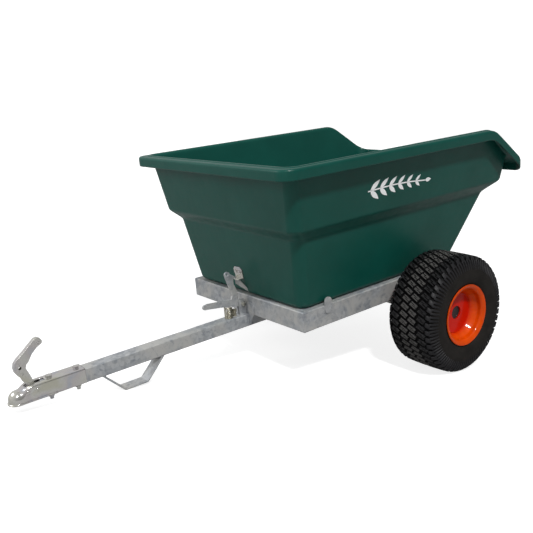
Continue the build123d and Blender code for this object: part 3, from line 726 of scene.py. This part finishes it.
def make_tyre(name, side):
    """Turf tyre: a turned carcass with tread blocks and shoulder lugs."""
    section = CARCASS + [(-y, r) for y, r in reversed(CARCASS[:-1])]
    section += [(-y, r) for y, r in HOLLOW[:-1]] + list(reversed(HOLLOW))
    shape = lathe(section, side, steps=160)
    carcass_faces = len(shape.faces)
    outline = block_outline()
    for row, row_y in enumerate(BLOCK_ROWS):
        for i in range(BLOCKS_ROUND):
            add_block(shape, outline, ((i + row * ROW_SHIFT) * PITCH, row_y), side)
    for hand, row in LUG_ROWS.items():
        add_lugs(shape, side, hand, row * ROW_SHIFT)
    tyre = shape.make("turf_tyre_" + name, "wheel_" + name, "tyre", flip=side < 0)
    tyre.data.materials.append(CARCASS_LOOK)
    for face in tyre.data.polygons[:carcass_faces]:
        face.material_index = 1
    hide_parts("tyre_" + name)
    sharpen(tyre, 38)


def thick_section(path, thickness, radius):
    """Closed section of a sheet that follows a rounded path of (y, radius)."""
    line = rounded_path(path, radius, 5)
    left, right = [], []
    for i, point in enumerate(line):
        before, after = Vector(line[max(i - 1, 0)]), Vector(line[min(i + 1, len(line) - 1)])
        along = (after - before).normalized()
        normal = Vector((-along.y, along.x)) * (thickness / 2)
        left.append(tuple(Vector(point) + normal))
        right.append(tuple(Vector(point) - normal))
    return left + list(reversed(right))


RIM_SHEET = 3.0
RIM_BEND = 6.0
# Left half of the rim's sheet from the flange to the well, and the wheel disc's section.
RIM_HALF = [(98.4, 117.6), (98.4, 112.0), (91.2, 100.2), (75.0, 100.2), (51.0, 80.6)]
DISC = [(46.8, 29), (49.6, 29), (49.8, 50), (50.0, 74), (51.0, 80.4), (46.8, 80.4)]
CURL_Y, CURL_RADIUS = 98.6, 117.2


def make_rim(name, side):
    """Pressed rim with curled flange edges and the disc that carries the hub."""
    path = RIM_HALF + [(-y, r) for y, r in reversed(RIM_HALF)]
    shape = lathe(thick_section(path, RIM_SHEET, RIM_BEND), side)
    angles = [math.pi * k / 5 for k in range(10)]
    curl = [(CURL_Y + 2.3 * math.cos(a), CURL_RADIUS + 1.8 * math.sin(a)) for a in angles]
    for section in (curl, [(-y, r) for y, r in curl], DISC):
        shape.merge(lathe(section, side))
    rim = shape.make("pressed_rim_" + name, "wheel_" + name, "wheel_paint", flip=side < 0)
    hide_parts("rim_" + name)
    sharpen(rim, 32)


# ---------------------------------------------------------------- spring and welds
# Where the spring stands on the drawbar, and the heights of its wire's two ends.
SPRING_FOOT = Vector((679, 0, 45))
SPRING_LOW, SPRING_HIGH = 47.3, 86.4
COIL_RADIUS, COIL_WIRE, COIL_TURNS = 14.6, 2.0, 8.5
CLOSED_TURNS = 0.7
LEVER_SLOPE = 0.21


def make_spring():
    """Compression coil with closed ends between the drawbar and the latch lever."""
    path = []
    steps = 300
    for i in range(steps + 1):
        t = i / steps
        rise = (t * COIL_TURNS - CLOSED_TURNS) / (COIL_TURNS - 2 * CLOSED_TURNS)
        rise = min(max(rise, 0.0), 1.0)
        angle = 2 * math.pi * COIL_TURNS * t
        x, y = COIL_RADIUS * math.cos(angle), COIL_RADIUS * math.sin(angle)
        height = SPRING_LOW + (SPRING_HIGH - SPRING_LOW) * rise + LEVER_SLOPE * x * t ** 3
        path.append((SPRING_FOOT.x + x, y, height))
    spring = tube(path, COIL_WIRE, 10).make("coil_spring", "chassis", "yellow_zinc")
    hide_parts("latch_spring")
    return spring


WELD_RIPPLE = 2.4
# Straight beads on the left of the chassis: radius, start and end. Each has a twin on the right.
CHASSIS_WELDS = {
    "weld_gusset": (3.2, (607, 25.6, 3), (607, 25.6, 44)),
    "weld_member_bar": (2.4, (601, 25.6, 3), (601, 25.6, 44)),
    "weld_gusset_top": (2.2, (601, 30, 94), (601, 57, 94)),
    "weld_tab": (2.2, (498.6, 353, 93), (498.6, 353, 118)),
    "weld_tab_back": (2.2, (463.4, 353, 93), (463.4, 353, 118)),
    "weld_rail_corner": (2.0, (597, 350.5, 48), (597, 350.5, 119)),
    "weld_cheek": (2.2, (603, 11, 45.6), (630, 11, 45.6)),
    "weld_bracket": (2.2, (-40, 352.4, 44), (165, 352.4, 44)),
    "weld_beam": (2.6, (-20.5, 352.6, 20.5), (20.5, 352.6, 20.5)),
    "weld_skid_front": (2.4, (1219, 24, -5.4), (1219, 0, -5.4)),
    "weld_skid_rear": (2.4, (1000, 24, -5.4), (1000, 0, -5.4)),
}


def weld(name, radius, start, end):
    """Rippled weld bead from start to end."""
    steps = max(2, int(math.dist(start, end) / (WELD_RIPPLE / 3)))
    points = [lerp(start, end, i / steps) for i in range(steps)] + [end]

    def ripple(i):
        taper = min(1.0, 0.45 + 0.25 * min(i, steps - i))
        return taper * (0.86 + 0.16 * math.cos(2 * math.pi * i / 3) + random.uniform(-0.05, 0.05))

    tube(points, radius, 8, ripple).make(name, "chassis", "galvanised")


def make_welds():
    for name, (radius, *ends) in CHASSIS_WELDS.items():
        for suffix, side in (("left", 1), ("right", -1)):
            start, end = ((x, side * y, z) for x, y, z in ends)
            weld(f"{name}_{suffix}", radius, start, end)


DISC_WELD_RADIUS, DISC_WELD_Y = 78.2, 50.6


def disc_weld(name, side):
    """Bead where the wheel disc meets the well."""
    path = []
    steps = 96
    for i in range(steps + 1):
        angle = 2 * math.pi * i / steps
        across = side * (TRACK_HALF + DISC_WELD_Y)
        path.append((DISC_WELD_RADIUS * math.sin(angle), across, DISC_WELD_RADIUS * math.cos(angle)))
    bead = tube(path, 1.5, 8, lambda i: 1.0 + 0.12 * math.cos(2 * math.pi * i / 3))
    bead.make("weld_disc_" + name, "wheel_" + name, "wheel_paint")


# ---------------------------------------------------------------- coupling
# The channel: its rear end, its top and half its width, and where its flared lip begins.
COUPLING_TAIL = 1289.0
COUPLING_TOP = 49.5
COUPLING_HALF = 29.6
LIP_FROM_X = 1394.0
# The round nose: its centre, its foot and half its width. The top starts to sink at the neck.
NOSE_X = 1512.0
NOSE_Z = 10.0
NOSE_HALF = 30.4
NOSE_STEPS = 30
DOME_DROP = 9.1
NECK_X = 1464.0
# The sides swell from the channel's width to the nose's from here, over this length.
SWELL_FROM, SWELL_OVER = 1480.0, 32.0
# The handle stands in a slot in the top: its ends along X, and its share of the half width.
SLOT = (1420.0, 1486.0)
SLOT_SHARE = 0.3547
ACROSS_TOP = [0.0, 0.18, SLOT_SHARE, 0.55, 0.7, 0.8, 0.87, 0.92, 0.955, 0.98, 0.994, 1.0]


def ease(t):
    """Smooth step from 0 to 1."""
    t = min(max(t, 0.0), 1.0)
    return t * t * (3 - 2 * t)


def coupling_profile(x):
    """(share of the half width, extra width, height) from the middle of the top to the lip.

    The section is a superellipse: almost square along the channel, round over the ball.
    """
    neck = ease((x - NECK_X) / (NOSE_X - NECK_X))
    top = COUPLING_TOP - DOME_DROP * neck
    power = 12.0 * (1 - neck) ** 2 + 2.0 + 1.2 * neck * (1 - neck)
    profile = [(s, 0.0, NOSE_Z + (top - NOSE_Z) * (1 - s ** power) ** (1 / power)) for s in ACROSS_TOP]
    flare = 1.0 if x >= LIP_FROM_X else 0.0
    lip = [(0.0, 6.0), (0.2, 3.2), (1.0, 1.9), (3.3, 1.2), (3.3, -0.4), (3.1, -1.9)]
    return profile + [(1.0, extra * flare, z) for extra, z in lip]


def make_coupling():
    """Pressed coupling: a channel that flows into the domed ball socket."""
    straight = [COUPLING_TAIL, 1291, 1330, 1360, LIP_FROM_X - 4, LIP_FROM_X, 1410, SLOT[0], 1440, NECK_X]
    straight += [1470, 1478, SLOT[1], 1492, 1498, 1504, 1508]
    centre = (NOSE_X, 0.0)
    stations = []
    for x in straight:
        swell = (NOSE_HALF - COUPLING_HALF) * ease((x - SWELL_FROM) / SWELL_OVER)
        stations.append(((x, 0.0), (x, COUPLING_HALF + swell), x))
    nose = []
    for i in range(NOSE_STEPS + 1):
        angle = math.radians(180 * i / NOSE_STEPS)
        edge = (NOSE_X + NOSE_HALF * math.sin(angle), NOSE_HALF * math.cos(angle))
        nose.append((centre, edge, NOSE_X))
    back = [((x, 0.0), (outer[0], -outer[1]), x) for (_, outer, x) in reversed(stations)]
    shape = Shape()
    rings = []
    for spine, outer, x in stations + nose + back:
        away = (Vector(outer) - Vector(spine)).normalized()
        ring = []
        for share, extra, z in coupling_profile(x):
            flat = Vector(lerp(spine, outer, share)) + away * extra
            ring.append((flat.x, flat.y, z))
        rings.append((shape.ring(ring), x))
    slot_columns = ACROSS_TOP.index(SLOT_SHARE)
    for (low, x0), (high, x1) in zip(rings, rings[1:]):
        in_slot = min(x0, x1) >= SLOT[0] and max(x0, x1) <= SLOT[1]
        first = slot_columns if in_slot else 0
        for i in range(first, len(low) - 1):
            shape.faces.append((low[i], low[i + 1], high[i + 1], high[i]))
    coupling = shape.make("coupling_shell", "chassis", "bright_zinc")
    sharpen(coupling, 50)
    shell = coupling.modifiers.new("sheet", "SOLIDIFY")
    shell.thickness = 0.003
    shell.offset = -1
    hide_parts("coupling_body")


def add_button(shape, x, z, y, radius, height):
    """Low rivet head with a dished middle, on a face across Y."""
    steps = 24
    hand = 1 if y > 0 else -1
    rings = []
    for share, rise in ((1.0, 0.0), (1.0, 0.6), (0.86, 1.0), (0.6, 1.0), (0.4, 0.55), (0.1, 0.4)):
        ring = []
        for i in range(steps):
            angle = 2 * math.pi * i / steps
            reach = radius * share
            across = y + hand * height * rise
            ring.append((x + reach * math.cos(angle), across, z + reach * math.sin(angle)))
        rings.append(shape.ring(ring))
    shape.skin(rings)
    shape.cap(rings[-1])


# Rivets: body, distance of the face from the middle, height, then (x, z, radius) of each head.
RIVETS = {
    "handle_rivets": ("handle", 9.4, 1.4, ((1486.5, 89.7, 5.2), (1421.5, 176.5, 5.6))),
    "pin_rivets": ("chassis", 31.5, 1.1, ((1454.0, 32.0, 6.0), (1484.0, 30.0, 6.0))),
}


def make_rivets():
    """Rivet heads on the sides of the coupling's handle, and dished ends on its cross pins."""
    for name, (body, face, height, heads) in RIVETS.items():
        shape = Shape()
        for side in (1, -1):
            for x, z, radius in heads:
                add_button(shape, x, z, side * face, radius, height)
        sharpen(shape.make(name, body, "bright_zinc"), 40)


# ---------------------------------------------------------------- leaf mark
# The stem from its foot to its tip, as (x, z), and the mark's height above the wall.
STEM_START, STEM_END = (330.0, 515.0), (20.0, 508.0)
STEM_ARCH = 7
STEM_HALF = 2.4
MARK_LIFT = 0.5
LEAF_PAIRS = 6
LEAF_ANGLE = math.radians(38)


def make_mark():
    """Generic leaf sprig printed on the tub's left wall: a stem with paired leaves."""
    shape = Shape()

    def on_wall(x, z):
        share = (z - STEP_HIGH[0]) / (TOP[0] - STEP_HIGH[0])
        return (x, STEP_HIGH[3] + (TOP[3] - STEP_HIGH[3]) * share + MARK_LIFT, z)

    def stem_point(t):
        x, z = lerp(STEM_START, STEM_END, t)
        return x, z + STEM_ARCH * math.sin(math.pi * t)

    def leaf(root, angle, length, width):
        steps = 12
        out = [(i / steps, 1) for i in range(steps + 1)]
        back = [(1 - i / steps, -1) for i in range(1, steps)]
        outline = []
        for t, side in out + back:
            bulge = width * math.sin(math.pi * t ** 0.85) * side
            a = length * t
            x = root[0] - a * math.cos(angle) - bulge * math.sin(angle)
            z = root[1] + a * math.sin(angle) - bulge * math.cos(angle)
            outline.append(on_wall(x, z))
        shape.cap(shape.ring(outline))

    steps = 24
    middle = [stem_point(i / steps) for i in range(steps + 1)]
    ring_high = shape.ring([on_wall(x, z + STEM_HALF) for x, z in middle])
    ring_low = shape.ring([on_wall(x, z - STEM_HALF) for x, z in middle])
    shape.skin([ring_high, ring_low], closed_round=False)
    for i in range(LEAF_PAIRS):
        root = stem_point(0.04 + 0.155 * i)
        length = 58 - 4.5 * i
        for angle in (LEAF_ANGLE, -LEAF_ANGLE):
            leaf(root, angle, length, length * 0.17)
    leaf(stem_point(1.0), 0.0, 34, 8)
    shape.make("leaf_mark", "tub", "tub_plastic", mark_white(), smooth=False)


# ---------------------------------------------------------------- CAD nodes
# Width in metres of the worn edges on the CAD nodes of each material.
SOFT_EDGES = {"galvanised": 0.0012, "bright_zinc": 0.001, "yellow_zinc": 0.0005, "black_plastic": 0.0008}
slots = {part["node"]: part["material_slot"] for part in frame["record"]["subparts"]}


def soften(node, width):
    """Small worn edges on a CAD node."""
    join = node.modifiers.new("join", "WELD")
    join.merge_threshold = DOUBLED
    bevel = node.modifiers.new("edges", "BEVEL")
    bevel.width = width
    bevel.segments = 2
    bevel.limit_method = "ANGLE"
    bevel.angle_limit = math.radians(40)
    bevel.harden_normals = False
    weighted(node)


def dress_cad():
    for name, node in frame["nodes"].items():
        slot = slots[name]
        node.data.materials.clear()
        node.data.materials.append(LOOKS[slot])
        if slot in SOFT_EDGES:
            soften(node, SOFT_EDGES[slot])


# ---------------------------------------------------------------- studio
FLOOR_HALF = 40.0
FLOOR_GLOW = 0.82
WORLD_GLOW = 1.05
# The world is brightest towards the front right, and dimmest at the back left.
BRIGHT_WAY = (0.6, -0.68, 0.42)
WORLD_SPAN = {"From Min": -0.5, "From Max": 0.9, "To Min": 0.18, "To Max": 0.66}


def make_floor():
    """Pale paper floor that looks white to the camera without lighting the cart."""
    half = FLOOR_HALF
    mesh = bpy.data.meshes.new("floor")
    corners = [(-half, -half, 0), (half, -half, 0), (half, half, 0), (-half, half, 0)]
    mesh.from_pydata(corners, [], [(0, 1, 2, 3)])
    floor = bpy.data.objects.new("floor", mesh)
    bpy.context.scene.collection.objects.link(floor)
    paper = Finish("studio_floor").set(Roughness=0.9)
    paper.feed("Base Color", paper.ramp(paper.noise(2.0, 2.0), (0.3, 0.38), (0.7, 0.41)))
    paper.set(Emission_Color=(1, 1, 1, 1))
    seen = paper.nodes.new("ShaderNodeLightPath").outputs["Is Camera Ray"]
    paper.feed("Emission Strength", paper.maths("MULTIPLY", seen, FLOOR_GLOW))
    mesh.materials.append(paper.material)


def make_world():
    """White surroundings for the camera, and a soft gradient of light for the cart."""
    world = bpy.data.worlds.new("studio")
    bpy.context.scene.world = world
    world.use_nodes = True
    tree = world.node_tree
    background = tree.nodes["Background"]
    background.inputs["Color"].default_value = (1, 1, 1, 1)
    seen = tree.nodes.new("ShaderNodeLightPath").outputs["Is Camera Ray"]
    way = tree.nodes.new("ShaderNodeVectorMath")
    way.operation = "DOT_PRODUCT"
    way.inputs[1].default_value = BRIGHT_WAY
    tree.links.new(tree.nodes.new("ShaderNodeTexCoord").outputs["Generated"], way.inputs[0])
    glow = tree.nodes.new("ShaderNodeMapRange")
    for name, value in WORLD_SPAN.items():
        glow.inputs[name].default_value = value
    tree.links.new(way.outputs["Value"], glow.inputs["Value"])
    strength = tree.nodes.new("ShaderNodeMix")
    strength.inputs["B"].default_value = WORLD_GLOW
    tree.links.new(seen, strength.inputs["Factor"])
    tree.links.new(glow.outputs["Result"], strength.inputs["A"])
    tree.links.new(strength.outputs["Result"], background.inputs["Strength"])


def add_lamp(data):
    lamp = bpy.data.objects.new(data.name, data)
    bpy.context.scene.collection.objects.link(lamp)
    return lamp


def add_key_sun():
    """Broad sun from high on the left."""
    data = bpy.data.lights.new("key", "SUN")
    data.energy = 2.5
    data.angle = math.radians(6)
    towards = Vector((0.3, 0.56, 0.77))
    add_lamp(data).rotation_euler = towards.to_track_quat("Z", "Y").to_euler()


def add_front_panel():
    """Weak panel light in front, on the right."""
    place, target = Vector((3.0, -1.6, 2.2)), Vector((0.2, 0.0, 0.3))
    data = bpy.data.lights.new("front", "AREA")
    data.shape = "RECTANGLE"
    data.size, data.size_y = 1.6, 1.2
    data.energy = 30
    lamp = add_lamp(data)
    lamp.location = place
    lamp.rotation_euler = (target - place).to_track_quat("-Z", "Y").to_euler()


def make_studio():
    make_floor()
    make_world()
    add_key_sun()
    add_front_panel()
    bpy.context.scene.view_settings.view_transform = "Standard"


# The camera in the level frame: place in metres, then yaw, pitch and roll in degrees.
CAMERA_PLACE = (2.09152, 2.13319, 0.95557)
CAMERA_TURN = (52.88, 15.7, -4.76)
CAMERA_LENS = 47.21


def make_camera():
    """Camera that looks at the cart from its front left."""
    yaw, pitch, roll = (math.radians(angle) for angle in CAMERA_TURN)
    level = math.cos(pitch)
    ahead = Vector((-math.cos(yaw) * level, -math.sin(yaw) * level, -math.sin(pitch)))
    right = ahead.cross(Vector((0, 0, 1))).normalized()
    up = right.cross(ahead)
    turned_right = right * math.cos(roll) + up * math.sin(roll)
    turned_up = up * math.cos(roll) - right * math.sin(roll)
    turn = Matrix((turned_right, turned_up, -ahead)).transposed().to_4x4()
    data = bpy.data.cameras.new("camera")
    data.sensor_width = 36.0
    data.lens = CAMERA_LENS
    data.clip_end = 200
    camera = bpy.data.objects.new("camera", data)
    bpy.context.scene.collection.objects.link(camera)
    camera.matrix_world = PARK @ Matrix.Translation(CAMERA_PLACE) @ turn
    bpy.context.scene.camera = camera


dress_cad()
make_tub()
for wheel_name, wheel_side in (("left", 1), ("right", -1)):
    make_tyre(wheel_name, wheel_side)
    make_rim(wheel_name, wheel_side)
    disc_weld(wheel_name, wheel_side)
spring_coil = make_spring()
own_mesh(spring_coil)
make_welds()
make_coupling()
make_rivets()
make_mark()
make_studio()
make_camera()
